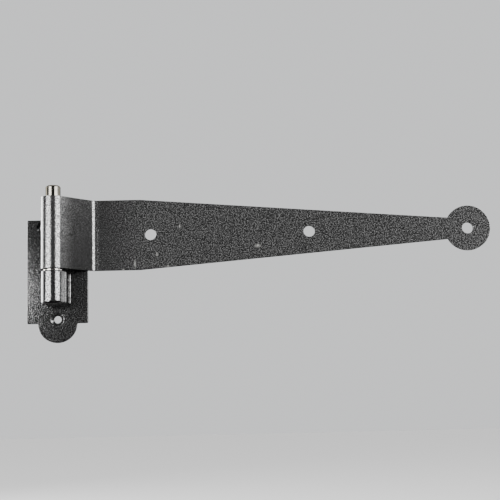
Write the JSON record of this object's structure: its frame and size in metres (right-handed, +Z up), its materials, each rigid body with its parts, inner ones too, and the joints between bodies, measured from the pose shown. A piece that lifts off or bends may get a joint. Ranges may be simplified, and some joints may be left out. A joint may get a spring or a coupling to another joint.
{
  "type": "cranked lift-off t hinge",
  "caption": "Cranked T hinge: a tapered strap with a penny end is rolled round a fixed pin on a lobed wall plate, and swings and lifts off.",
  "frame": {"origin": "on the back face of the wall plate, at the height of the strap's centre line and behind the pin's axis", "axes": "+X along the strap towards its penny end, +Y into the wall, +Z up along the pin"},
  "size_m": [0.3209, 0.028, 0.1059],
  "materials": {
    "black_powder_coat": "fine-textured satin black powder coat",
    "burnished_steel": "turned steel, burnished dark and smooth",
    "bright_steel": "turned and polished bare steel",
    "zinc_plate": "bright zinc plate"
  },
  "bodies": {
    "root": {"wall_plate": "black_powder_coat", "pin_bracket": "black_powder_coat", "bracket_screws": "zinc_plate", "pintle_pin": "burnished_steel"},
    "washer": {"thrust_washer": "bright_steel"},
    "band": {"strap": "black_powder_coat"}
  },
  "joints": [
    {"name": "strap_swing", "type": "hinge", "parent": "root", "child": "washer", "pos_m": [0, -0.02, 0], "axis": [0, 0, -1], "range_deg": [0, 180]},
    {"name": "strap_lift", "type": "slide", "parent": "washer", "child": "band", "axis": [0, 0, 1], "range_m": [0, 0.06]}
  ]
}
